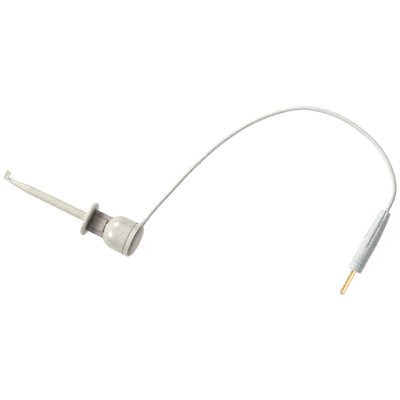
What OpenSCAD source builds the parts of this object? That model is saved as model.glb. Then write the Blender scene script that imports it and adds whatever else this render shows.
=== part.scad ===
// Mini hook test clip on a short lead that ends in a 2 mm pin plug.
// The clip lies along X with its hook at -X and its press head at +X, and the
// object rests on the plane Z = 0. All sizes are in millimetres.
// Places along the clip are measured from the middle of the finger flange.
// Places along the plug are measured from the tip of its pin.

/* [Nose barrel] */
// Distance from the flange's middle to the nozzle's end face
nose_reach = 34.3; // [28:0.1:42]
// Outside diameter of the nozzle
nozzle_d = 1.8; // [1.6:0.05:2.2]
// Length of the straight nozzle
nozzle_len = 1.3; // [0.6:0.1:3]
// Length of the beak in front of the nozzle, under the hook's mouth
beak_len = 1.6; // [0.5:0.1:1.8]
// Length of the cone between nozzle and shaft
cone_len = 6.6; // [4:0.1:10]
// Shaft diameter at the cone
shaft_tip_d = 3.25; // [2.9:0.05:4]
// Shaft diameter at the flange
shaft_root_d = 3.6; // [3.4:0.05:4.6]
// Bore of the barrel behind the nozzle
barrel_bore_d = 1.7; // [1.4:0.05:2]
// Diameter of the spigot that seats in the flange
spigot_d = 2.9; // [2.6:0.05:3.1]
// Diameter of the moulding gate mark
gate_d = 0.9; // [0.4:0.05:1.4]
// Distance of the gate mark from the flange's middle
gate_reach = 8.8; // [5:0.1:20]

/* [Finger flange and guide] */
// Flange diameter
flange_d = 13.7; // [12:0.1:18]
// Flange thickness, with a fully rounded rim
flange_t = 1.8; // [1.5:0.1:2.8]
// Radius of the fillet between hub and flange
hub_fillet = 1.1; // [0.6:0.1:1.6]
// Diameter of the guide stem's root, which seats in the flange
stem_root_d = 6.2; // [5.6:0.1:6.3]
// Width of the guide stem
guide_w = 8.9; // [8.4:0.1:9.2]
// Height of the guide stem between its rails
guide_h = 6.7; // [6.3:0.1:7]
// Corner radius of the guide stem
guide_corner = 1.2; // [0.9:0.1:1.6]
// Width of each rail on the guide stem
rail_w = 4.8; // [3.6:0.1:5.2]
// Height of each rail above the stem
rail_h = 0.7; // [0.4:0.05:0.8]
// Distance from the flange's middle to the end of the rails
rail_reach = 7.3; // [4:0.1:7.6]
// Bore of the guide stem, which holds the spring
guide_bore_d = 4.7; // [4.4:0.1:5]
// Gap between the stop collar's edge and the head's wall
collar_gap = 0.3; // [0.2:0.05:0.5]
// Thickness of the stop collar
collar_t = 0.9; // [0.6:0.05:1.2]

/* [Press head] */
// Distance from the flange's middle to the start of the head's straight side
dome_reach = 12.8; // [12.4:0.1:14]
// Radius of the dome's curve
dome_arc = 6.5; // [6.2:0.1:6.6]
// Head diameter at the rear, and over the band
head_d = 13.7; // [13.3:0.1:14.5]
// How much less the head's radius is where the dome ends
dome_drop = 0.15; // [0:0.05:0.3]
// Distance from the flange's middle to the head's rear face
head_reach = 17.6; // [17:0.05:18]
// Distance from the flange's middle to the floor of the head's cavity
cavity_reach = 9.4; // [9.1:0.1:9.8]
// Wall of the head round its cavity
head_wall = 1.55; // [1.3:0.05:1.7]
// How far the head travels when it is pressed
travel = 6; // [3:0.1:6]

/* [Band and end cap] */
// Length of the band ring behind the head
band_len = 2.2; // [1.6:0.05:2.4]
// Width of the groove between the head and the raised part of the band
band_groove_w = 0.45; // [0.2:0.05:0.8]
// Depth of that groove
band_groove_depth = 0.3; // [0.1:0.05:0.5]
// Wall of the head and of the band round the cap's sleeve
sleeve_cover = 0.98; // [0.8:0.02:1.1]
// Wall of the cap's sleeve
sleeve_wall = 0.65; // [0.4:0.05:0.8]
// Length of the sleeve inside the head
sleeve_len = 1.95; // [1:0.05:2.2]
// How much less the cap's radius is than the band's
cap_drop = 0.25; // [0.1:0.05:0.5]
// Radius of the cap's rounded edge
cap_round = 1.65; // [1.2:0.05:2.4]
// Width of the dark joint line in front of the cap
joint_w = 0.25; // [0.1:0.05:0.4]
// Depth of that line, from the cap's full radius
joint_depth = 0.45; // [0.2:0.05:0.5]
// Distance from the flange's middle to the cap's end face
cap_reach = 20.85; // [20.8:0.05:22]
// Thickness of the cap's end wall
cap_wall = 1.2; // [1:0.05:1.2]
// Diameter of the boss that holds the terminal
boss_d = 5.4; // [4.6:0.1:6]
// Running space between the pressed guide and the boss
boss_gap = 0.25; // [0.15:0.05:0.4]

/* [Hook contact and terminal] */
// Distance from the nozzle's end face to the outside of the hook's leg
hook_ahead = 3.15; // [2.9:0.05:4.5]
// Height of the hook above the clip's axis
hook_h = 3.3; // [2.6:0.1:4.5]
// Width of the contact strip
strip_w = 1; // [0.7:0.05:1.05]
// Thickness of the contact strip
strip_t = 0.5; // [0.3:0.05:0.6]
// Width of the hook's leg
leg_w = 1.2; // [0.9:0.05:1.3]
// Width of the lip that is folded back beside the leg
lip_w = 0.65; // [0.5:0.05:0.7]
// Gap between the leg and the lip
lip_gap = 0.2; // [0.15:0.05:0.3]
// How much lower the lip's shoulder is than the top of the leg
lip_drop = 0.5; // [0.2:0.05:0.8]
// Height of the hook's mouth, from the strip to the lip's end
mouth_h = 0.5; // [0.4:0.05:1]
// Diameter of the terminal
terminal_d = 2.8; // [2.2:0.1:3.2]
// Length of the terminal
terminal_len = 3; // [2.8:0.1:3.2]
// Depth to which the strip enters the terminal
strip_seat = 0.85; // [0.5:0.05:1]

/* [Return spring] */
// Mean diameter of the spring
spring_d = 3.8; // [3.4:0.1:4]
// Diameter of the spring's wire
spring_wire_d = 0.36; // [0.25:0.01:0.45]
// Turns of the spring
spring_turns = 13; // [8:1:14]

/* [Lead] */
// Diameter of the lead over its jacket
lead_d = 1.7; // [1.4:0.1:2]
// Diameter of the stranded conductor
core_d = 0.8; // [0.5:0.05:1]
// Distance from the flange's middle to where the lead's line meets the axis
lead_reach = 18.2; // [18:0.05:18.25]
// Lean of the lead towards the cap, from square to the clip
lead_lean = 10.5; // [8:0.5:11]
// Distance from the clip's axis to the lead's inner end
lead_inner = 3; // [2.9:0.1:4]

/* [Plug] */
// Diameter of the contact pin
pin_d = 2; // [1.9:0.05:2.2]
// Length of the pin in front of the insulator
pin_len = 10.6; // [8:0.1:14]
// Width of the slot that makes the pin springy
slot_w = 0.3; // [0.2:0.05:0.5]
// Solid length of pin between the slot and the insulator
slot_root = 0.3; // [0.2:0.1:3]
// Turn of the slot about the pin's axis
slot_roll = -12; // [-45:1:45]
// Diameter of the pin's root, which fills the insulator's mouth
pin_root_d = 2.5; // [2.3:0.1:2.8]
// Diameter of the pin's collar in the insulator
pin_collar_d = 3.2; // [3:0.1:3.3]
// Diameter of the pin's solder cup
cup_d = 2.4; // [2:0.1:2.6]
// Length of the insulator in front of the boot
insulator_len = 5.1; // [4.6:0.1:7]
// Diameter of the insulator at its front
insulator_d = 5.6; // [5:0.05:5.7]
// Diameter over the grip rings and the boot's collar
ring_d = 5.9; // [5.8:0.02:6.4]
// Width of each grip ring
ring_w = 0.8; // [0.6:0.05:0.9]
// Distance between the middles of the two grip rings
ring_step = 0.98; // [0.92:0.02:1.2]
// Distance from the insulator's rear to the middle of the last grip ring
ring_back = 0.54; // [0.5:0.02:0.8]
// Diameter of the insulator's spigot in the boot
boot_spigot_d = 4.4; // [4.2:0.1:4.5]
// Length of that spigot
boot_spigot_len = 3; // [2:0.1:4]
// Length of the boot
boot_len = 20.7; // [17:0.1:26]
// Largest diameter of the boot
boot_d = 5.9; // [5.8:0.02:6.3]
// Diameter of the boot where the lead leaves it
boot_tail_d = 3.8; // [3.4:0.1:4.4]
// Number of flutes round the boot
flutes = 8; // [6:1:10]
// Depth of a flute at its front end
flute_depth = 0.35; // [0.2:0.05:0.45]
// Radius of a flute's hollow
flute_r = 1.75; // [1.4:0.05:2.2]
// Turn of the flutes about the boot's axis
flute_turn = 12; // [-20:1:20]
// Length of the lead inside the boot
lead_in_boot = 12.5; // [8:0.5:13]

/* [Fits] */
// Gap between a piece and the seat it is fixed in
seat_gap = 0.03; // [0.02:0.01:0.05]
// Running gap between pieces that slide on each other
slide_gap = 0.1; // [0.06:0.01:0.12]
// Gap between the lead and the holes that it passes through
lead_gap = 0.08; // [0.05:0.01:0.1]

/* [Hidden] */
$fn = 96;
eps = 0.01;
over = 1;
edge_break = 0.1;

// The clip's place: its axis lies level, and its ends are as far from X = 0
axis_z = max(flange_d, head_d) / 2;
hook_reach = nose_reach + hook_ahead;
flange_x = (hook_reach - cap_reach) / 2;

// Barrel
gate_turn = 15;
gate_depth = 0.28;

// Flange and guide
flange_back = flange_t / 2;
hub_land = 0.2;
hub_front = flange_back + hub_fillet + hub_land;
spring_seat = flange_back / 2;
spigot_end = 0.3;
stop_gap = 0.05;
collar_front = cavity_reach + stop_gap;
guide_end = collar_front + collar_t;
neck_step = 0.2;
neck_d = guide_h - 2 * neck_step;
shank_gap = 0.3;
shank_hole_d = strip_w + 2 * shank_gap;

// Head, band and cap
dome_d = head_d - 2 * dome_drop;
cavity_d = head_d - 2 * head_wall;
collar_d = cavity_d - 2 * collar_gap;
sleeve_d = head_d - 2 * sleeve_cover;
cap_d = head_d - 2 * cap_drop;
boss_front = guide_end + travel + boss_gap;
cap_shoulder = head_reach + band_len + seat_gap;
sleeve_front = head_reach - sleeve_len;
cap_floor = cap_reach - cap_wall;
terminal_back = boss_front + terminal_len;
strip_end = boss_front + strip_seat;

// Hook
foot_r = 0.25;
crown_r = 0.35;
shoulder_r = 0.25;
lip_r = 0.2;
fold_t = 0.8;
crotch_r = 0.2;
lip_reach = leg_w + lip_gap + lip_w;

// Plug
edge_chamfer = 0.2;
insulator_back = pin_len + insulator_len;
ring_at = insulator_back - ring_back;
ring_bulge = ring_w / 2;
ring_root = 0.3;
front_ring_at = ring_at - ring_step;
barrel_back = front_ring_at - ring_bulge;
barrel_rise = 0.1;
boot_front = insulator_back + seat_gap;
boot_back = boot_front + boot_len;
boot_collar_w = 0.95;
boot_collar_round = 0.2;
boot_groove_w = 0.25;
boot_groove_depth = 0.22;
boot_slope = 0.1;
boot_tail_round = 0.4;
belly_at = boot_front + 4.8;
flute_at = boot_front + 5.8;
pin_collar_at = pin_len + 1;
pin_collar_t = 1;
cup_at = pin_collar_at + pin_collar_t;
cup_len = 4.4;
cup_depth = 3;
cup_space = 0.4;
lead_inner_end = boot_back - lead_in_boot;

// The plug lies with the insulator's front edge and its front grip ring on the
// surface, which tips its pin down a little
plug_tip = [108.8, 15.95];
plug_heading = 86.6;
edge_at = pin_len + edge_chamfer;
edge_r = insulator_d / 2;
dip_run = front_ring_at - edge_at;
dip_rise = edge_r - (ring_d / 2 - ring_bulge);
plug_dip = asin(ring_bulge / norm([dip_run, dip_rise])) - atan2(dip_rise, dip_run);
plug_dir = [
    cos(plug_dip) * cos(plug_heading),
    cos(plug_dip) * sin(plug_heading),
    sin(plug_dip)
];
plug_origin = [plug_tip[0], plug_tip[1], edge_r * cos(plug_dip) - edge_at * sin(plug_dip)];

// The lead's route: out of the head's side, down to the surface, along it in
// one wide bend, and up to the boot's tail. The third number of each point is
// the height of the lead's underside above the surface.
lead_dir = [sin(lead_lean), cos(lead_lean), 0];
lead_origin = [flange_x + lead_reach, 0, axis_z];
lead_rest = lead_d / 2;
function along_lead(r) = lead_origin + lead_dir * r / cos(lead_lean);
function along_plug(t) = plug_origin + plug_dir * t;
free_route = [
    [28.8, 12.2, 5.8], [30.1, 17.3, 4.9], [31.5, 22.6, 3.3], [32.8, 28, 1.5],
    [34.3, 33.4, 0.3], [36.4, 39.2, 0], [39, 45.5, 0], [42.3, 52, 0],
    [46.4, 58.6, 0], [51.2, 64.5, 0], [56.7, 69.8, 0], [62.8, 74, 0],
    [69.6, 76.3, 0], [77, 77.3, 0], [84.4, 76.8, 0.1], [91, 75.4, 0.3],
    [96.8, 73.3, 0.8], [101.8, 70.3, 1.6], [105.9, 66.9, 2.3], [108.9, 63.2, 2.8],
    [110.7, 59.2, 3.1]
];
route = concat(
    [along_lead(lead_inner), along_lead(axis_z), along_lead(axis_z + lead_d)],
    [for (p = free_route) p + [0, 0, lead_rest]],
    [along_plug(boot_back + lead_d), along_plug(boot_back), along_plug(lead_inner_end)]
);
lead_sides = 8;
lead_steps = 2;

// A smooth curve through the points of a list, never below the given height
function spline(p, a, b, c, d, t) =
    0.5 * (2 * p[b] + (p[c] - p[a]) * t
        + (2 * p[a] - 5 * p[b] + 4 * p[c] - p[d]) * t * t
        + (3 * p[b] - p[a] - 3 * p[c] + p[d]) * t * t * t);
function lifted(v, low) = [v[0], v[1], max(v[2], low)];
function smooth(p, steps, low) = concat(
    [for (i = [0 : len(p) - 2]) for (s = [0 : steps - 1])
        lifted(spline(p, max(i - 1, 0), i, i + 1, min(i + 2, len(p) - 1), s / steps), low)],
    [lifted(p[len(p) - 1], low)]
);

// A closed tube of the given radius and number of sides along a line of points
function unit(v) = v / norm(v);
function tangent(p, i) = unit(p[min(i + 1, len(p) - 1)] - p[max(i - 1, 0)]);
function ring_points(p, i, r, sides) =
    let (t = tangent(p, i), s = unit(cross([0, 0, 1], t)), u = cross(t, s))
    [for (k = [0 : sides - 1]) p[i] + r * (cos(360 * k / sides) * s + sin(360 * k / sides) * u)];
module tube(p, r, sides) {
    n = len(p);
    points = [for (i = [0 : n - 1]) each ring_points(p, i, r, sides)];
    walls = [for (i = [0 : n - 2]) for (k = [0 : sides - 1])
        let (a = i * sides + k, b = i * sides + (k + 1) % sides)
        each [[a, a + sides, b], [b, a + sides, b + sides]]];
    front = [for (k = [1 : sides - 2]) [0, k, k + 1]];
    back = [for (k = [1 : sides - 2])
        [(n - 1) * sides, (n - 1) * sides + k + 1, (n - 1) * sides + k]];
    polyhedron(points, concat(walls, front, back));
}

// Places its children on the clip's axis, with their +Z along +X
module on_clip() {
    translate([flange_x, 0, axis_z]) rotate([0, 90, 0]) children();
}

// Places its children on the plug's axis, with their +Z from tip to tail
module on_plug() {
    translate(plug_origin) rotate([0, 90 - plug_dip, plug_heading]) children();
}

// A bar of the given diameter on its axis from one place to another
module bar(d, from, to) {
    translate([0, 0, from]) cylinder(d = d, h = to - from);
}

// A rectangle with round corners, centred
module rounded_rect(h, w, r) {
    square([h - 2 * r, w], center = true);
    square([h, w - 2 * r], center = true);
    for (x = [-1, 1]) for (y = [-1, 1])
        translate([x * (h / 2 - r), y * (w / 2 - r)]) circle(r);
}

// Section of the guide stem, with a rail above and below, grown by a gap
module guide_section(gap, with_rails) {
    rounded_rect(guide_h + 2 * gap, guide_w + 2 * gap, guide_corner + gap);
    if (with_rails)
        square([guide_h + 2 * (rail_h + gap), rail_w + 2 * gap], center = true);
}

// Opening that the flat contact strip slides through
module strip_opening(gap, from, to) {
    translate([0, 0, (from + to) / 2])
        cube([strip_t + 2 * gap, strip_w + 2 * gap, to - from], center = true);
}

// Barrel: nozzle, cone and tapered shaft, with a spigot that seats in the hub
module nose_barrel() {
    nozzle_back = -nose_reach + nozzle_len;
    cone_back = nozzle_back + cone_len;
    color("#DAD9CB") on_clip() difference() {
        union() {
            rotate_extrude() polygon([
                [0, -nose_reach], [nozzle_d / 2 - edge_break, -nose_reach],
                [nozzle_d / 2, -nose_reach + edge_break], [nozzle_d / 2, nozzle_back],
                [shaft_tip_d / 2, cone_back], [shaft_root_d / 2, -hub_front - seat_gap],
                [0, -hub_front - seat_gap]
            ]);
            bar(spigot_d, -hub_front - seat_gap - eps, -spigot_end);
            beak();
        }
        bar(barrel_bore_d, cone_back - cone_len / 2, 0);
        strip_opening(slide_gap / 2, -nose_reach - beak_len - over, 0);
        translate([0, 0, -gate_reach]) rotate([0, -90, gate_turn])
            translate([0, 0, shaft_root_d / 2 - gate_depth]) cylinder(d = gate_d, h = over);
    }
}

// Beak in front of the nozzle: the part of its round that lies under the strip
module beak() {
    intersection() {
        bar(nozzle_d, -nose_reach - beak_len, -nose_reach + edge_break + eps);
        translate([(strip_t + slide_gap) / 2, -strip_w / 2, -nose_reach - beak_len - over])
            cube([nozzle_d, nozzle_d, beak_len + 2 * over]);
    }
}

// Flange with its hub, and the pocket that the guide stem seats in
module finger_flange() {
    rim = flange_t / 2;
    root = shaft_root_d / 2;
    color("#CFCDC0") on_clip() difference() {
        rotate_extrude() {
            translate([0, -rim]) square([flange_d / 2 - rim, flange_t]);
            translate([flange_d / 2 - rim, 0]) circle(rim);
            translate([0, -hub_front]) square([root, hub_front]);
            difference() {
                translate([0, -rim - hub_fillet]) square([root + hub_fillet, hub_fillet + eps]);
                translate([root + hub_fillet, -rim - hub_fillet]) circle(hub_fillet);
            }
        }
        bar(spigot_d + 2 * seat_gap, -hub_front - over, -spigot_end + seat_gap);
        bar(shank_hole_d, -hub_front, spring_seat + eps);
        bar(stem_root_d + 2 * seat_gap, spring_seat, flange_back + over);
    }
}

// Hollow guide stem with its two rails, which the head slides on
module guide_stem() {
    front = flange_back + seat_gap;
    color("#8F8780") on_clip() difference() {
        union() {
            bar(stem_root_d, spring_seat + seat_gap, front + eps);
            translate([0, 0, front]) {
                linear_extrude(rail_reach - front) guide_section(0, true);
                linear_extrude(cavity_reach - seat_gap - front) guide_section(0, false);
            }
            bar(neck_d, rail_reach, guide_end);
        }
        bar(guide_bore_d, spring_seat, guide_end + over);
    }
}

// Collar pressed on the guide's end, which the head's cavity floor stops against
module stop_collar() {
    color("#B9B6AC") on_clip() difference() {
        bar(collar_d, collar_front, guide_end);
        bar(neck_d + 2 * seat_gap, collar_front - over, guide_end + over);
    }
}

// Domed shell of the press head, open at the front for the guide stem
module plunger_head() {
    arc_r = dome_d / 2 - dome_arc;
    color("#D1CEC0") on_clip() difference() {
        rotate_extrude() intersection() {
            union() {
                translate([0, dome_reach - dome_arc]) square([arc_r, dome_arc]);
                translate([arc_r, dome_reach]) circle(dome_arc);
                polygon([
                    [0, dome_reach - eps], [dome_d / 2, dome_reach],
                    [head_d / 2, head_reach], [0, head_reach]
                ]);
            }
            translate([0, dome_reach - 2 * dome_arc])
                square([head_d, head_reach - dome_reach + 2 * dome_arc]);
        }
        linear_extrude(head_reach) guide_section(slide_gap, true);
        bar(cavity_d, cavity_reach, head_reach + over);
        bar(sleeve_d + 2 * seat_gap, sleeve_front - seat_gap, head_reach + over);
    }
}

// Band ring between head and cap, raised behind a shallow groove
module head_band() {
    front = head_reach + seat_gap;
    back = head_reach + band_len;
    color("#DCD8CE") on_clip() difference() {
        union() {
            bar(head_d - 2 * band_groove_depth, front, back);
            bar(head_d, front + band_groove_w, back);
        }
        bar(sleeve_d + 2 * seat_gap, front - over, back + over);
        lead_hole();
    }
}

// Shallow end cap with its sleeve, the terminal's boss and the lead's hole
module end_cap() {
    edge_r = cap_d / 2 - cap_round;
    edge_z = cap_reach - cap_round;
    color("#BDB7AD") on_clip() difference() {
        union() {
            rotate_extrude() difference() {
                intersection() {
                    union() {
                        square([edge_r, cap_reach]);
                        translate([edge_r, edge_z]) circle(cap_round);
                    }
                    translate([0, cap_shoulder]) square([cap_d, cap_reach]);
                }
                translate([cap_d / 2 - joint_depth, cap_shoulder - over])
                    square([cap_d, over + joint_w]);
            }
            bar(sleeve_d, sleeve_front, cap_shoulder + eps);
        }
        difference() {
            bar(sleeve_d - 2 * sleeve_wall, sleeve_front - over, cap_floor);
            bar(boss_d, boss_front, cap_floor + over);
        }
        bar(terminal_d + 2 * seat_gap, boss_front - over, terminal_back + seat_gap);
        lead_hole();
        on_lead_line() bar(core_d + 2 * lead_gap, 0, boss_d);
    }
}

// Hole that the lead passes through, across the joint of band and cap
module lead_hole() {
    on_lead_line() bar(lead_d + 2 * lead_gap, lead_inner, cap_d);
}

// Places its children on the lead's line inside the clip's own frame
module on_lead_line() {
    translate([0, 0, lead_reach]) rotate([-90 + lead_lean, 0, 0]) children();
}

// Points of an arc in a flat outline, from one angle to another
function arc(centre, r, from, to) =
    [for (i = [0 : 6]) let (a = from + (to - from) * i / 6) centre + r * [cos(a), sin(a)]];

// Stamped contact strip, with a leg at the nose end and a lip that is folded
// back beside the leg, down to the mouth
module hook_contact() {
    out = -hook_reach;
    half_w = strip_w / 2;
    leg_back = out + leg_w;
    lip_front = leg_back + lip_gap;
    lip_back = out + lip_reach;
    lip_end = half_w + mouth_h + lip_r;
    gap_r = lip_gap / 2;
    shoulder_h = hook_h - lip_drop - shoulder_r;
    slope = atan2(lip_drop, lip_reach);
    color("#D9D6C6") translate([flange_x, 0, axis_z - strip_t / 2]) linear_extrude(strip_t)
        polygon(concat(
            arc([out + foot_r, foot_r - half_w], foot_r, 270, 180),
            arc([out + crown_r, hook_h - crown_r], crown_r, 180, 90 - slope),
            arc([lip_back - shoulder_r, shoulder_h], shoulder_r, 90 - slope, 0),
            arc([lip_back - lip_r, lip_end], lip_r, 0, -90),
            arc([lip_front + lip_r, lip_end], lip_r, -90, -180),
            arc([leg_back + gap_r, hook_h - fold_t - gap_r], gap_r, 0, 180),
            arc([leg_back + crotch_r, half_w + crotch_r], crotch_r, 180, 270),
            [[strip_end, half_w], [strip_end, -half_w]]
        ));
}

// Terminal that joins the strip to the lead's conductor
module shank_terminal() {
    color("#C9A24B") on_clip() difference() {
        bar(terminal_d, boss_front, terminal_back);
        strip_opening(seat_gap, boss_front - over, strip_end + seat_gap);
        on_lead_line() bar(core_d + 2 * seat_gap, -core_d / 2, terminal_d);
    }
}

// Return spring round the strip, from its seat in the flange to the boss
spring_start = spring_seat + spring_wire_d / 2 + stop_gap;
spring_end = boss_front - spring_wire_d / 2 - stop_gap;
spring_rings = 8 * spring_turns;
function spring_point(i, grow) =
    let (a = 360 * i / 8, r = spring_d / 2 + grow)
    [r * cos(a), r * sin(a), spring_start + (spring_end - spring_start) * i / spring_rings];
spring_pitch = (spring_end - spring_start) / spring_turns;
spring_rise = atan2(spring_pitch, PI * spring_d);
function spring_section(i) =
    let (
        a = 360 * i / 8,
        out = [cos(a), sin(a), 0],
        up = [sin(a) * sin(spring_rise), -cos(a) * sin(spring_rise), cos(spring_rise)]
    )
    [for (k = [0 : 5]) spring_point(i, 0)
        + spring_wire_d / 2 * (cos(60 * k) * out + sin(60 * k) * up)];
spring_gap = min([for (i = [0 : 7]) for (j = [i + 4 : min(i + 12, spring_rings)])
    norm(spring_point(j, 0) - spring_point(i, 0))]) - spring_wire_d;
echo(spring_least_gap_mm = spring_gap);
module return_spring() {
    n = spring_rings + 1;
    points = [for (i = [0 : spring_rings]) each spring_section(i)];
    walls = [for (i = [0 : n - 2]) for (k = [0 : 5])
        let (a = i * 6 + k, b = i * 6 + (k + 1) % 6)
        each [[a, b, a + 6], [b, b + 6, a + 6]]];
    front = [for (k = [1 : 4]) [0, k + 1, k]];
    back = [for (k = [1 : 4]) [(n - 1) * 6, (n - 1) * 6 + k, (n - 1) * 6 + k + 1]];
    color("#B8BCC0") on_clip() polyhedron(points, concat(walls, front, back));
}

// Bare conductor from the terminal to the lead's inner end
module head_core() {
    color("#B87333") on_clip() on_lead_line()
        bar(core_d, 0, (lead_inner - eps) / cos(lead_lean));
}

// Free lead, a plain tube from inside the head to inside the boot
module lead_jacket() {
    color("#DFDFDB") tube(smooth(route, lead_steps, lead_rest), lead_d / 2, lead_sides);
}

// Bare conductor from the lead's end to the pin's solder cup
module plug_core() {
    color("#B87333") on_plug()
        bar(core_d, cup_at + cup_len - cup_depth + seat_gap, lead_inner_end - eps);
}

// Half thickness of the boot at a place along the plug, before its flutes
function boot_r(t) = boot_d / 2 - (boot_d - boot_tail_d) / 2
    * pow((t - belly_at) / (boot_back - belly_at), 2);

// Boot with a collar in front of a groove, a long belly and hollow flutes
module boot_body() {
    collar_r = ring_d / 2;
    groove_r = boot_d / 2 - boot_groove_depth;
    groove_front = boot_front + boot_collar_w;
    groove_back = groove_front + boot_slope + boot_groove_w;
    belly_front = groove_back + boot_slope;
    belly_back = boot_back - boot_tail_round;
    steps = 12;
    rotate_extrude() polygon(concat(
        [[0, boot_front], [collar_r - boot_collar_round, boot_front],
            [collar_r, boot_front + boot_collar_round], [collar_r, groove_front],
            [groove_r, groove_front + boot_slope], [groove_r, groove_back]],
        [for (i = [0 : steps]) let (t = belly_front + (belly_back - belly_front) * i / steps)
            [boot_r(t), t]],
        [[boot_tail_d / 2 - boot_tail_round, boot_back], [0, boot_back]]
    ));
}
module flute() {
    deep = boot_r(flute_at) + flute_r - flute_depth;
    back = boot_r(boot_back) + flute_r - flute_depth / 2;
    run = boot_back - flute_at;
    translate([deep, 0, flute_at]) {
        sphere(flute_r);
        rotate([0, -atan2(deep - back, run), 0]) cylinder(r = flute_r, h = run + flute_r);
    }
}
module plug_boot() {
    cup_space_end = lead_inner_end - 2 * lead_rest;
    color("#E3E6E4") on_plug() difference() {
        boot_body();
        for (k = [0 : flutes - 1]) rotate([0, 0, flute_turn + 360 * (k + 0.5) / flutes]) flute();
        bar(lead_d + 2 * lead_gap, cup_space_end - over, boot_back + over);
        bar(cup_d + 2 * cup_space, boot_front, cup_space_end);
        bar(boot_spigot_d + 2 * seat_gap, boot_front - over,
            boot_front + boot_spigot_len + seat_gap);
    }
}

// Hard insulator with two rounded grip rings and a spigot that seats in the
// boot, moulded round the pin's root and collar
module plug_insulator() {
    r = insulator_d / 2;
    root_r = ring_d / 2 - ring_root;
    color("#C9CFCC") on_plug() difference() {
        union() {
            rotate_extrude() {
                polygon([
                    [0, pin_len], [r - edge_chamfer, pin_len], [r, edge_at],
                    [r + barrel_rise, barrel_back], [root_r, barrel_back],
                    [root_r, insulator_back], [0, insulator_back]
                ]);
                for (at = [front_ring_at, ring_at])
                    translate([ring_d / 2 - ring_bulge, at]) circle(ring_bulge);
            }
            bar(boot_spigot_d, insulator_back - eps, insulator_back + boot_spigot_len);
        }
        bar(pin_root_d + 2 * seat_gap, pin_len - over, pin_collar_at + eps);
        bar(pin_collar_d + 2 * seat_gap, pin_collar_at - seat_gap,
            insulator_back + boot_spigot_len + over);
    }
}

// Slotted pin with its collar and solder cup, turned from one bar
module contact_pin() {
    color("#D8B45C") on_plug() difference() {
        union() {
            bar(pin_d, pin_d / 2, pin_len + eps);
            translate([0, 0, pin_d / 2]) sphere(d = pin_d);
            bar(pin_root_d, pin_len, pin_collar_at + eps);
            bar(pin_collar_d, pin_collar_at, cup_at);
            bar(cup_d, cup_at - eps, cup_at + cup_len);
        }
        rotate([0, 0, slot_roll]) translate([0, 0, (pin_len - slot_root - over) / 2])
            cube([pin_d + over, slot_w, pin_len - slot_root + over], center = true);
        bar(core_d + 4 * seat_gap, cup_at + cup_len - cup_depth, cup_at + cup_len + over);
    }
}

nose_barrel();
finger_flange();
guide_stem();
stop_collar();
plunger_head();
head_band();
end_cap();
hook_contact();
shank_terminal();
return_spring();
head_core();
lead_jacket();
plug_core();
plug_boot();
plug_insulator();
contact_pin();
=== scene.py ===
from math import asin, atan2, cos, hypot, pi, radians, sin, sqrt

import bmesh
import bpy
from mathutils import Matrix, Vector


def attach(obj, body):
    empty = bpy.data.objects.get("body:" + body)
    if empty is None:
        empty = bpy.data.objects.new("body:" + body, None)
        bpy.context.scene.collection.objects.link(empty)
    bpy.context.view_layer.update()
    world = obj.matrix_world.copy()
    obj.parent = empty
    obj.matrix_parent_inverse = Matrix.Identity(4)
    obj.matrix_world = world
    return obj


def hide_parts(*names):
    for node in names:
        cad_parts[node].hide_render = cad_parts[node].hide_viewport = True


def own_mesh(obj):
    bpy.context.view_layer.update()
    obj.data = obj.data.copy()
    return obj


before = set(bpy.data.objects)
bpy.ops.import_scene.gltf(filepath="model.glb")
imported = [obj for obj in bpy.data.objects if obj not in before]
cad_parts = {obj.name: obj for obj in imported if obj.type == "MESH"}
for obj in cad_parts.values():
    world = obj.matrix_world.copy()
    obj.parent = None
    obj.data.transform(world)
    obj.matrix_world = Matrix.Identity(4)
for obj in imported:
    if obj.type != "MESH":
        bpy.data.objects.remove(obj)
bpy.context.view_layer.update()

# ---------------------------------------------------------------------------
# Camera. The clip and its lead lie on a table and are seen from almost
# straight above, a little towards the clip's press head, with a long lens.
# Sizes in this file are in millimetres, and MM turns them to metres.
MM = 0.001
tilt = radians(80.2)
roll = radians(25.8)
look_at = Vector((43.97, 25.09, 6.85)) * MM
camera_distance = 6.5
picture_width = 154 * MM
sensor_width = 36

towards_camera = Vector((cos(tilt), 0, sin(tilt)))
along_clip = Vector((sin(tilt), 0, -cos(tilt)))
across_clip = Vector((0, 1, 0))
camera_right = cos(roll) * along_clip + sin(roll) * across_clip
camera_up = cos(roll) * across_clip - sin(roll) * along_clip
camera_place = [a + camera_distance * b for a, b in zip(look_at, towards_camera)]

camera_data = bpy.data.cameras.new("camera")
camera_data.sensor_width = sensor_width
camera_data.lens = sensor_width * camera_distance / picture_width
camera_data.clip_start = 0.5
camera_data.clip_end = 20
camera = bpy.data.objects.new("camera", camera_data)
bpy.context.scene.collection.objects.link(camera)
camera.matrix_world = Matrix([
    *zip(camera_right, camera_up, towards_camera, camera_place),
    (0, 0, 0, 1),
])
bpy.context.scene.camera = camera


# ---------------------------------------------------------------------------
# Free lead. One stranded conductor in a soft white silicone jacket. It leaves
# the side of the press head square, comes down to the table, runs on it in one
# wide bend and goes into the tail of the plug's boot.
def colour(text):
    """A #rrggbb sRGB colour as linear red, green, blue and alpha."""
    parts = [int(text[i:i + 2], 16) / 255 for i in (1, 3, 5)]
    linear = [p / 12.92 if p <= 0.04045 else ((p + 0.055) / 1.055) ** 2.4 for p in parts]
    return linear + [1]


def node(tree, kind, inputs, **settings):
    """Adds a shader node with its settings, its inputs' values and its links."""
    made = tree.nodes.new("ShaderNode" + kind)
    for name, value in settings.items():
        setattr(made, name, value)
    for name, value in inputs.items():
        if isinstance(value, bpy.types.NodeSocket):
            tree.links.new(value, made.inputs[name])
        else:
            made.inputs[name].default_value = value
    return made


def material(name):
    """A new material and its node tree, still empty."""
    made = bpy.data.materials.new(name)
    made.use_nodes = True
    tree = made.node_tree
    tree.nodes.clear()
    return made, tree


def put_in_scene(name, data):
    """A new object that shows this mesh, curve or lamp."""
    made = bpy.data.objects.new(name, data)
    bpy.context.scene.collection.objects.link(made)
    return made


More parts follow.
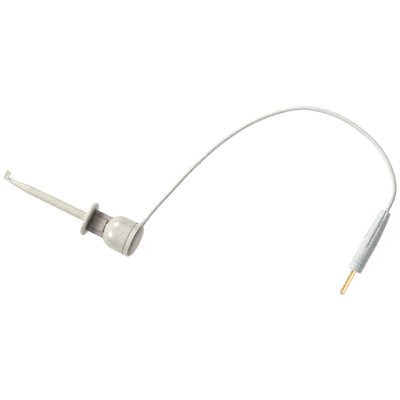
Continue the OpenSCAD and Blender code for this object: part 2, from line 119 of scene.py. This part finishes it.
# The height of the clip's axis, and the middle of its flange
axis_z = 6.85
flange_x = 8.3

# The lead starts inside the head and ends inside the boot. lead_from and
# lead_exit, where it comes out of the head, are counted from the clip's axis.
lead_d = 1.7
lead_rest = lead_d / 2
lead_reach = 18.2
lead_lean = radians(10.5)
lead_from = 3
lead_in_boot = 12.5
route_steps = 8

# The plug lies on its insulator's front edge and front grip ring, so it dips.
# Places along the plug are measured from the tip of its pin.
plug_tip = (108.8, 15.95)
plug_heading = radians(86.6)
edge_at = 10.8
edge_r = 2.8
ring_at = 14.18
ring_d = 5.9
ring_bulge = 0.4
boot_front = 15.73
boot_back = 36.43
dip_run = ring_at - edge_at
dip_rise = edge_r - (ring_d / 2 - ring_bulge)
plug_dip = asin(ring_bulge / hypot(dip_run, dip_rise)) - atan2(dip_rise, dip_run)
plug_origin = Vector((*plug_tip, edge_r * cos(plug_dip) - edge_at * sin(plug_dip)))
plug_dir = Vector((
    cos(plug_dip) * cos(plug_heading),
    cos(plug_dip) * sin(plug_heading),
    sin(plug_dip),
))

lead_origin = Vector((flange_x + lead_reach, 0, axis_z))
lead_dir = Vector((sin(lead_lean), cos(lead_lean), 0))


def along_lead(side):
    """The place on the lead's first straight run this far to the clip's side."""
    return lead_origin + lead_dir * side / cos(lead_lean)


def along_plug(t):
    """The place on the plug's axis this far from the pin's tip."""
    return plug_origin + plug_dir * t


# The lead's free run: x, y and the height of its underside
free_route = [
    (28.8, 12.2, 5.8), (30.1, 17.3, 4.9), (31.5, 22.6, 3.3), (32.8, 28, 1.5),
    (34.3, 33.4, 0.3), (36.4, 39.2, 0), (39, 45.5, 0), (42.3, 52, 0),
    (46.4, 58.6, 0), (51.2, 64.5, 0), (56.7, 69.8, 0), (62.8, 74, 0),
    (69.6, 76.3, 0), (77, 77.3, 0), (84.4, 76.8, 0.1), (91, 75.4, 0.3),
    (96.8, 73.3, 0.8), (101.8, 70.3, 1.6), (105.9, 66.9, 2.3), (108.9, 63.2, 2.8),
    (110.7, 59.2, 3.1),
]
route = [along_lead(lead_from), along_lead(axis_z), along_lead(axis_z + lead_d)]
route += [Vector(place) + Vector((0, 0, lead_rest)) for place in free_route]
route += [along_plug(boot_back + lead_d), along_plug(boot_back)]
route += [along_plug(boot_back - lead_in_boot)]


def smooth_line(points, steps, low):
    """A Catmull-Rom curve through the points that never goes below this height."""
    line = []
    last = len(points) - 1
    for i in range(last):
        a = points[max(i - 1, 0)]
        b = points[i]
        c = points[i + 1]
        d = points[min(i + 2, last)]
        for s in range(steps):
            t = s / steps
            p = 0.5 * (2 * b + (c - a) * t + (2 * a - 5 * b + 4 * c - d) * t * t
                       + (3 * b - a - 3 * c + d) * t ** 3)
            line.append(Vector((p.x, p.y, max(p.z, low))))
    return line + [points[last]]


lead_line = [p * MM for p in smooth_line(route, route_steps, lead_rest)]
lead_data = bpy.data.curves.new("free_lead", "CURVE")
lead_data.dimensions = "3D"
lead_data.bevel_depth = lead_d / 2 * MM
lead_data.bevel_resolution = 10
lead_data.use_fill_caps = True
lead_spline = lead_data.splines.new("POLY")
lead_spline.points.add(len(lead_line) - 1)
for point, place in zip(lead_spline.points, lead_line):
    point.co = (*place, 1)
lead_spline.use_smooth = True
free_lead = put_in_scene("free_lead", lead_data)

# Silicone, extruded: a soft, even, slightly waxy white that light goes into a
# little. Its skin's ripple is about 0.05 mm and is drawn at 0.25 mm to show.
# A colour Mix takes its share as input 0 and its colours as inputs 6 and 7.
mottle_size = 2.2 * MM
skin_size = 0.25 * MM
silicone, tree = material("silicone, extruded")
place = node(tree, "TexCoord", {}).outputs["Object"]
mottle = node(tree, "TexNoise", {
    "Vector": place, "Scale": 1 / mottle_size, "Detail": 3, "Roughness": 0.6,
})
skin = node(tree, "TexNoise", {"Vector": place, "Scale": 1 / skin_size, "Detail": 2})
tint = node(tree, "Mix", {
    0: mottle.outputs["Fac"], 6: colour("#DADAD3"), 7: colour("#E6E5E0"),
}, data_type="RGBA")
gloss = node(tree, "MapRange", {
    "Value": skin.outputs["Fac"], "To Min": 0.36, "To Max": 0.5,
})
grain = node(tree, "Bump", {
    "Height": skin.outputs["Fac"], "Strength": 0.2, "Distance": 0.008 * MM,
})
surface = node(tree, "BsdfPrincipled", {
    "Base Color": tint.outputs[2], "Roughness": gloss.outputs["Result"], "IOR": 1.41,
    "Subsurface Weight": 0.08, "Subsurface Radius": (0.4 * MM, 0.38 * MM, 0.35 * MM),
    "Normal": grain.outputs["Normal"],
})
node(tree, "OutputMaterial", {"Surface": surface.outputs["BSDF"]})
lead_data.materials.append(silicone)

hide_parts("lead_jacket")
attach(free_lead, "head")


# ---------------------------------------------------------------------------
# Nose barrel. A slim insulated tube that the hook slides in, injection
# moulded in ivory nylon, with a cone, a short straight nozzle and the small
# round mark of its moulding gate. It is pressed into the flange's hub.
def painted(name, finish):
    """Gives a CAD node this material."""
    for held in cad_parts[name].material_slots:
        held.material = finish


def moulded(name, pale, deep, rough, flow_size, bleed):
    """A moulded plastic: faint clouds of flow, a fine grain and light that goes in.

    The mould's spark-eroded grain is about 0.03 mm and is drawn at 0.18 mm to show.
    """
    grain_size = 0.18
    made, tree = material(name)
    place = node(tree, "TexCoord", {}).outputs["Object"]
    cloud = node(tree, "TexNoise", {
        "Vector": place, "Scale": 1 / (flow_size * MM), "Detail": 4,
        "Roughness": 0.65, "Distortion": 0.8,
    })
    spread = node(tree, "MapRange", {
        "Value": cloud.outputs["Fac"], "From Min": 0.3, "From Max": 0.7,
    })
    tint = node(tree, "Mix", {
        0: spread.outputs["Result"], 6: colour(deep), 7: colour(pale),
    }, data_type="RGBA")
    spark = node(tree, "TexNoise", {
        "Vector": place, "Scale": 1 / (grain_size * MM), "Detail": 3,
    })
    gloss = node(tree, "MapRange", {
        "Value": spark.outputs["Fac"], "From Min": 0.3, "From Max": 0.7,
        "To Min": rough - 0.06, "To Max": rough + 0.08,
    })
    grain = node(tree, "Bump", {
        "Height": spark.outputs["Fac"], "Strength": 0.3, "Distance": 0.012 * MM,
    })
    surface = node(tree, "BsdfPrincipled", {
        "Base Color": tint.outputs[2], "Roughness": gloss.outputs["Result"], "IOR": 1.53,
        "Subsurface Weight": bleed, "Subsurface Radius": (0.7 * MM, 0.6 * MM, 0.45 * MM),
        "Normal": grain.outputs["Normal"],
    })
    node(tree, "OutputMaterial", {"Surface": surface.outputs["BSDF"]})
    return made


# Nylon, moulded: a satin ivory, warm and a little milky at its edges
painted("nose_barrel", moulded(
    "nylon, moulded ivory", pale="#D9D8CA", deep="#CDCCBB", rough=0.4, flow_size=2.5, bleed=0.12,
))

# ---------------------------------------------------------------------------
# Finger flange. A round disc with its hub, moulded in the same nylon as the
# barrel. Two fingers pull on its rim, and a pocket in it holds the stem.

# Nylon, moulded: the barrel's satin ivory, a little darker as painted shade for the flange's rim
painted("finger_flange", moulded(
    "nylon, moulded flange, painted shade", pale="#D2D1C3", deep="#C5C3B4", rough=0.4, flow_size=2.5, bleed=0.12,
))

# ---------------------------------------------------------------------------
# Guide stem. A keyed stem with a rail on each side, moulded in a darker nylon
# and pressed into the flange. The press head slides on it.
# The flange's painted shadow on the stem fades out between these two places
shadow_fade_from = flange_x + 3.3
shadow_fade_to = flange_x + 6.8
streak_size = 0.7 * MM
streak_stretch = 12.5

# Nylon, moulded: a satin taupe with a painted shadow of the flange on it: dark by the
# flange and fading to pale towards the head's mouth. The scuffs along the slide are about
# 0.1 mm wide and are drawn at 0.7 mm to show.
taupe_painted_shadow, tree = material("nylon, moulded taupe, painted flange shadow")
place = node(tree, "TexCoord", {}).outputs["Object"]
along = node(tree, "SeparateXYZ", {"Vector": place}).outputs["X"]
painted_shadow_fade = node(tree, "MapRange", {
    "Value": along, "From Min": shadow_fade_from * MM, "From Max": shadow_fade_to * MM,
}, interpolation_type="SMOOTHSTEP")
slid = node(tree, "Mapping", {"Vector": place, "Scale": (1 / streak_stretch, 1, 1)})
streak = node(tree, "TexNoise", {
    "Vector": slid.outputs["Vector"], "Scale": 1 / streak_size, "Detail": 3, "Roughness": 0.6,
})
wear = node(tree, "MapRange", {
    "Value": streak.outputs["Fac"], "From Min": 0.3, "From Max": 0.7,
    "To Min": -0.12, "To Max": 0.12,
})
# Painted shadow of the flange plus the scuffs: deep taupe by the flange, pale by the mouth
shade = node(tree, "Math", {
    0: painted_shadow_fade.outputs["Result"], 1: wear.outputs["Result"],
}, operation="ADD")
tint = node(tree, "Mix", {
    0: shade.outputs["Value"], 6: colour("#554E48"), 7: colour("#B2A99F"),
}, data_type="RGBA")
gloss = node(tree, "MapRange", {
    "Value": streak.outputs["Fac"], "To Min": 0.34, "To Max": 0.52,
})
grain = node(tree, "Bump", {
    "Height": streak.outputs["Fac"], "Strength": 0.3, "Distance": 0.02 * MM,
})
surface = node(tree, "BsdfPrincipled", {
    "Base Color": tint.outputs[2], "Roughness": gloss.outputs["Result"], "IOR": 1.53,
    "Subsurface Weight": 0.05, "Subsurface Radius": (0.5 * MM, 0.4 * MM, 0.35 * MM),
    "Normal": grain.outputs["Normal"],
})
node(tree, "OutputMaterial", {"Surface": surface.outputs["BSDF"]})
painted("guide_stem", taupe_painted_shadow)

# ---------------------------------------------------------------------------
# Stop collar. A turned acetal ring pressed on the stem's end inside the
# head, where it keeps the spring from pushing the nose out.

# Acetal, turned: a duller, denser white with the tightest clouds
painted("stop_collar", moulded(
    "acetal, turned", pale="#C9C6BC", deep="#BEBBB0", rough=0.45, flow_size=1.5, bleed=0.1,
))

# ---------------------------------------------------------------------------
# Press head. A thick-walled dome that the thumb pushes, moulded in ABS from a
# polished mould, with a mouth that fits the stem and its two rails.

# ABS, moulded glossy: small bright lights on the dome over wide, soft clouds
painted("plunger_head", moulded(
    "ABS, moulded head", pale="#D7D5C9", deep="#CBC9BC", rough=0.26, flow_size=3.5, bleed=0.1,
))

# ---------------------------------------------------------------------------
# Band ring. A narrow ring in the head's ABS that sits on the cap's sleeve,
# between the head and the cap, with a shallow groove at its front.

# ABS, moulded: a satin ring, a little paler than the head
painted("head_band", moulded(
    "ABS, moulded band", pale="#DCD9D0", deep="#D2CFC5", rough=0.36, flow_size=2, bleed=0.1,
))

# ---------------------------------------------------------------------------
# End cap. A shallow plug in ABS that snaps into the head by its sleeve and
# closes it behind the lead.

# ABS, moulded matt: a flat, slightly pink grey, darker than the head as painted shade for the
# cap's end that faces away from the lamps
painted("end_cap", moulded(
    "ABS, moulded cap, painted shade", pale="#CDC3B8", deep="#C0B5A9", rough=0.42, flow_size=2.5, bleed=0.08,
))


# ---------------------------------------------------------------------------
# Hook contact. A strip stamped from phosphor bronze and tin plated, whose end
# is bent to a hook that closes on the nozzle.
def plated(name, pale, deep, rough, line_size, stretch):
    """A bare or plated metal with fine lines, drawn out along X by the stretch.

    The real lines are about 0.01 mm apart and are drawn at line_size to show.
    """
    made, tree = material(name)
    place = node(tree, "TexCoord", {}).outputs["Object"]
    drawn = node(tree, "Mapping", {"Vector": place, "Scale": (1 / stretch, 1, 1)})
    lines = node(tree, "TexNoise", {
        "Vector": drawn.outputs["Vector"], "Scale": 1 / (line_size * MM), "Detail": 3,
        "Roughness": 0.6,
    })
    tint = node(tree, "Mix", {
        0: lines.outputs["Fac"], 6: colour(deep), 7: colour(pale),
    }, data_type="RGBA")
    gloss = node(tree, "MapRange", {
        "Value": lines.outputs["Fac"], "To Min": rough - 0.08, "To Max": rough + 0.1,
    })
    grain = node(tree, "Bump", {
        "Height": lines.outputs["Fac"], "Strength": 0.3, "Distance": 0.006 * MM,
    })
    surface = node(tree, "BsdfPrincipled", {
        "Base Color": tint.outputs[2], "Metallic": 1, "Roughness": gloss.outputs["Result"],
        "Normal": grain.outputs["Normal"],
    })
    node(tree, "OutputMaterial", {"Surface": surface.outputs["BSDF"]})
    return made


# Phosphor bronze, tin plated: a soft grey white with long rolling lines
painted("hook_contact", plated(
    "phosphor bronze, tin plated", pale="#D6D4C9", deep="#B4B2A6", rough=0.38,
    line_size=0.12, stretch=12,
))

# ---------------------------------------------------------------------------
# Terminal. A turned brass slug in the cap's boss that the strip and the
# conductor are soldered into.

# Brass, turned: yellow, with the tool's fine rings across its axis
painted("shank_terminal", plated(
    "brass, turned", pale="#E0C272", deep="#C39F4A", rough=0.32, line_size=0.2, stretch=0.2,
))

# ---------------------------------------------------------------------------
# Return spring. Music wire, cold drawn and coiled round the strip, between the
# flange's seat and the cap's boss. The real spring closes up as the head is pressed.
spring_from = 8.98
spring_to = 24.67
spring_r = 1.9
wire_r = 0.18
coil_turns = 13
turn_steps = 24
wire_sides = 10


def ring_skin(name, rings, capped):
    """A smooth skin over rings of points, with or without end faces."""
    mesh = bmesh.new()
    made = [[mesh.verts.new(point * MM) for point in ring] for ring in rings]
    sides = len(made[0])
    for ring, following in zip(made, made[1:]):
        for k in range(sides):
            n = (k + 1) % sides
            mesh.faces.new((ring[k], ring[n], following[n], following[k]))
    if capped:
        mesh.faces.new(made[0])
        mesh.faces.new(made[-1])
    bmesh.ops.recalc_face_normals(mesh, faces=mesh.faces)
    data = bpy.data.meshes.new(name)
    mesh.to_mesh(data)
    mesh.free()
    data.shade_smooth()
    return put_in_scene(name, data)


def wire_ring(step):
    """The wire's round section at a step of the coil."""
    turn = 2 * pi * step / turn_steps
    out = Vector((0, sin(turn), -cos(turn)))
    ahead = Vector((0, cos(turn), sin(turn)))
    pitch = (spring_to - spring_from) / coil_turns
    rise = atan2(pitch, 2 * pi * spring_r)
    side = Vector((cos(rise), 0, 0)) - ahead * sin(rise)
    middle = Vector((spring_from + pitch * step / turn_steps, 0, axis_z)) + out * spring_r
    angles = [2 * pi * k / wire_sides for k in range(wire_sides)]
    return [middle + (out * cos(a) + side * sin(a)) * wire_r for a in angles]


wire_rings = [wire_ring(step) for step in range(coil_turns * turn_steps + 1)]
coil = ring_skin("coil_spring", wire_rings, capped=True)

# Music wire, drawn: a clean cool grey that glints along each turn
coil.data.materials.append(plated(
    "music wire, drawn", pale="#D2D4D6", deep="#A9ADB2", rough=0.3, line_size=0.1, stretch=1,
))
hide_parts("return_spring")
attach(coil, "head")
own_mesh(coil)

# ---------------------------------------------------------------------------
# Conductor ends. Fine copper strands, twisted and bared, soldered into the
# terminal at the clip's end and into the pin's cup at the plug's end.

# Copper, stranded: a warm, slightly dulled orange, uneven like its strands
strands = plated(
    "copper, stranded", pale="#D98F5B", deep="#A9643A", rough=0.35, line_size=0.12, stretch=1,
)
painted("head_core", strands)
painted("plug_core", strands)

# ---------------------------------------------------------------------------
# Plug insulator. A hard bush moulded in white polyamide, with two round grip
# rings in front of the boot and a spigot that the boot goes over. The pin is
# pushed into it from behind, up to its collar.

# Polyamide, moulded: a cool satin white that light goes well into
painted("plug_insulator", moulded(
    "polyamide, moulded", pale="#DCE1E0", deep="#CDD3D2", rough=0.36, flow_size=2, bleed=0.15,
))

# ---------------------------------------------------------------------------
# Contact pin. Turned from one brass bar with its collar and solder cup, sawn
# with a slot that lets it spring in its socket, and gold plated.

# Brass, gold plated: a pale yellow with a soft bright streak along it
painted("contact_pin", plated(
    "brass, gold plated", pale="#EBD3A8", deep="#DDBF8F", rough=0.4, line_size=0.15, stretch=4,
))

# ---------------------------------------------------------------------------
# Boot. A soft sleeve in white PVC that is pushed over the insulator's spigot
# and grips the lead, with a collar, a shallow groove, a long belly and six
# narrow flutes for the fingers.
boot_d = 5.9
boot_tail_d = 3.8
boot_sides = 192
spigot_r = 2.23
spigot_deep = 1
lead_hole_r = 0.93
lead_hole_deep = 1
hole_edge = 0.05
collar_r = ring_d / 2
belly_at = boot_front + 4.8
belly_from = boot_front + 1.5
belly_steps = 96
tail_round = 0.4
tail_turns = (20, 40, 60, 78, 90)
belly_to = boot_back - tail_round
flutes = 6
flute_at = boot_front + 5.0
flute_depth = 0.37
flute_rear_share = 0.8
flute_r = 0.4
flute_turn = radians(-20)
flute_crease = 0.05

# The lead's hole and the lip round it are narrower than this, and stay round
fluted_from_r = 1.6

# The collar and the groove behind it: how much less the radius is than the
# collar's, and the distance from the boot's front
collar_line = [
    (0.25, 0), (0.12, 0.03), (0.04, 0.1), (0, 0.22), (0, 0.8), (0.03, 0.9), (0.14, 1.0),
    (0.22, 1.06), (0.24, 1.16), (0.21, 1.26), (0.1, 1.36),
]


def boot_r(t):
    """The belly's radius at a place along the plug, before its flutes."""
    along = (t - belly_at) / (boot_back - belly_at)
    return boot_d / 2 - (boot_d - boot_tail_d) / 2 * along ** 2


def flute_edge(t, angle):
    """Distance from the axis to the nearest flute's hollow, in a direction."""
    front = boot_r(flute_at) + flute_r - flute_depth
    rear = boot_r(boot_back) + flute_r - flute_depth * flute_rear_share
    run = boot_back - flute_at
    middle = front + (rear - front) * max(t - flute_at, 0) / run
    ahead = max(flute_at - t, 0)
    if ahead >= flute_r:
        return None
    radius = sqrt(flute_r ** 2 - ahead ** 2)
    pitch = 2 * pi / flutes
    off = ((angle - flute_turn) / pitch) % 1 - 0.5
    side = middle * sin(off * pitch)
    if abs(side) >= radius:
        return None
    return middle * cos(off * pitch) - sqrt(radius ** 2 - side ** 2)


def eased_least(a, b, width):
    """The lesser of two lengths, with the crease between them rounded."""
    if b is None or b - a > width:
        return a
    if a - b > width:
        return b
    h = 0.5 + 0.5 * (b - a) / width
    return b * (1 - h) + a * h - width * h * (1 - h)


def fluted(radius, t, angle):
    """The boot's radius in a direction, with the flutes cut into its belly."""
    if radius < fluted_from_r or t < belly_from:
        return radius
    return eased_least(radius, flute_edge(t, angle), flute_crease)


# The boot's outline from its inside at the spigot to its inside at the lead,
# as radius and place along the plug
outline = [
    (spigot_r, boot_front + spigot_deep), (spigot_r, boot_front + hole_edge),
    (spigot_r + hole_edge, boot_front),
]
outline += [(collar_r - less, boot_front + behind) for less, behind in collar_line]
for i in range(belly_steps + 1):
    belly_t = belly_from + (belly_to - belly_from) * i / belly_steps
    outline.append((boot_r(belly_t), belly_t))
for turn in tail_turns:
    tail_r = boot_r(belly_to) - tail_round * (1 - cos(radians(turn)))
    outline.append((tail_r, belly_to + tail_round * sin(radians(turn))))
outline += [
    (lead_hole_r + hole_edge, boot_back), (lead_hole_r, boot_back - hole_edge),
    (lead_hole_r, boot_back - lead_hole_deep),
]

on_plug = (
    Matrix.Translation(plug_origin) @ Matrix.Rotation(plug_heading, 4, "Z")
    @ Matrix.Rotation(pi / 2 - plug_dip, 4, "Y")
)


def boot_ring(radius, t):
    """The boot's section at a place along the plug, as points round its axis."""
    ring = []
    for k in range(boot_sides):
        a = 2 * pi * k / boot_sides
        r = fluted(radius, t, a)
        ring.append(on_plug @ Vector((r * cos(a), r * sin(a), t)))
    return ring


boot = ring_skin("boot", [boot_ring(radius, t) for radius, t in outline], capped=False)

# PVC, moulded soft: an even satin white, a little powdery, with faint clouds.
# Its powder is about 0.02 mm and is drawn at 0.2 mm to show.
cloud_size = 2.5 * MM
powder_size = 0.2 * MM
vinyl, tree = material("PVC, moulded soft")
place = node(tree, "TexCoord", {}).outputs["Object"]
cloud = node(tree, "TexNoise", {
    "Vector": place, "Scale": 1 / cloud_size, "Detail": 4, "Roughness": 0.6,
})
tint = node(tree, "Mix", {
    0: cloud.outputs["Fac"], 6: colour("#CED2D1"), 7: colour("#DADEDD"),
}, data_type="RGBA")
powder = node(tree, "TexNoise", {"Vector": place, "Scale": 1 / powder_size, "Detail": 3})
gloss = node(tree, "MapRange", {
    "Value": powder.outputs["Fac"], "To Min": 0.42, "To Max": 0.58,
})
grain = node(tree, "Bump", {
    "Height": powder.outputs["Fac"], "Strength": 0.2, "Distance": 0.006 * MM,
})
surface = node(tree, "BsdfPrincipled", {
    "Base Color": tint.outputs[2], "Roughness": gloss.outputs["Result"], "IOR": 1.53,
    "Normal": grain.outputs["Normal"],
})
node(tree, "OutputMaterial", {"Surface": surface.outputs["BSDF"]})
boot.data.materials.append(vinyl)
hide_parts("plug_boot")
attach(boot, "head")

# ---------------------------------------------------------------------------
# Table. A sheet of opal acrylic, lit from below, that the clip and its lead
# lie on. Its own glow is what the eye and the gloss see, and the light that
# it sends up comes from the lamp under it.
table_half = 3
table_z = -0.2 * MM
corners = ((-1, -1), (1, -1), (1, 1), (-1, 1))
table_data = bpy.data.meshes.new("table")
table_data.from_pydata(
    [(x * table_half, y * table_half, table_z) for x, y in corners], [], [(0, 1, 2, 3)],
)
table = put_in_scene("table", table_data)

# Acrylic, opal: an even pale glow with no edge and hardly any gloss
opal, tree = material("acrylic, opal")
surface = node(tree, "BsdfPrincipled", {
    "Base Color": colour("#444444"), "Roughness": 0.7, "Specular IOR Level": 0.2,
    "Emission Color": colour("#FFFFFF"), "Emission Strength": 0.96,
})
node(tree, "OutputMaterial", {"Surface": surface.outputs["BSDF"]})
table_data.materials.append(opal)
table.visible_diffuse = False
table.visible_shadow = False

# The watts of an even, flat lamp are pi times its glow times its area
under_size = 1.2
under_glow = 0.64
under_z = -1 * MM
under_data = bpy.data.lights.new("under_table", "AREA")
under_data.shape = "SQUARE"
under_data.size = under_size
under_data.energy = under_glow * pi * under_data.size ** 2
under_table = put_in_scene("under_table", under_data)
face_up = Matrix.Rotation(pi, 4, "X")
under_table.matrix_world = Matrix.Translation((0, 0, under_z)) @ face_up


# ---------------------------------------------------------------------------
# Light. Two soft boxes on the hook's side, a weak one opposite, and a pale
# room that only shows in the gloss.
def soft_box(name, turn, height, watts):
    """A square soft box a metre away, at a turn from +X and a height in degrees."""
    turn = radians(turn)
    height = radians(height)
    data = bpy.data.lights.new(name, "AREA")
    data.shape = "SQUARE"
    data.size = 0.35
    data.energy = watts
    box = put_in_scene(name, data)
    aim = Vector((cos(height) * cos(turn), cos(height) * sin(turn), sin(height)))
    facing = aim.to_track_quat("Z", "Y").to_matrix().to_4x4()
    box.matrix_world = Matrix.Translation(look_at + aim) @ facing


soft_box("box_left", turn=220, height=37, watts=7.2)
soft_box("box_upper", turn=131, height=31, watts=7.9)
soft_box("box_fill", turn=0, height=42, watts=2.4)

# The room is dim at the floor and bright from 40 degrees up
room = bpy.data.worlds.new("room")
room.use_nodes = True
sky = room.node_tree
direction = node(sky, "TexCoord", {}).outputs["Generated"]
height = node(sky, "SeparateXYZ", {"Vector": direction}).outputs["Z"]
ceiling = node(sky, "MapRange", {
    "Value": height, "From Max": 0.65, "To Min": 0.12, "To Max": 0.9,
})
background = sky.nodes["Background"]
background.inputs["Color"].default_value = colour("#FAFBFD")
sky.links.new(ceiling.outputs["Result"], background.inputs["Strength"])
room.cycles_visibility.diffuse = False
bpy.context.scene.world = room
bpy.context.scene.view_settings.view_transform = "Standard"
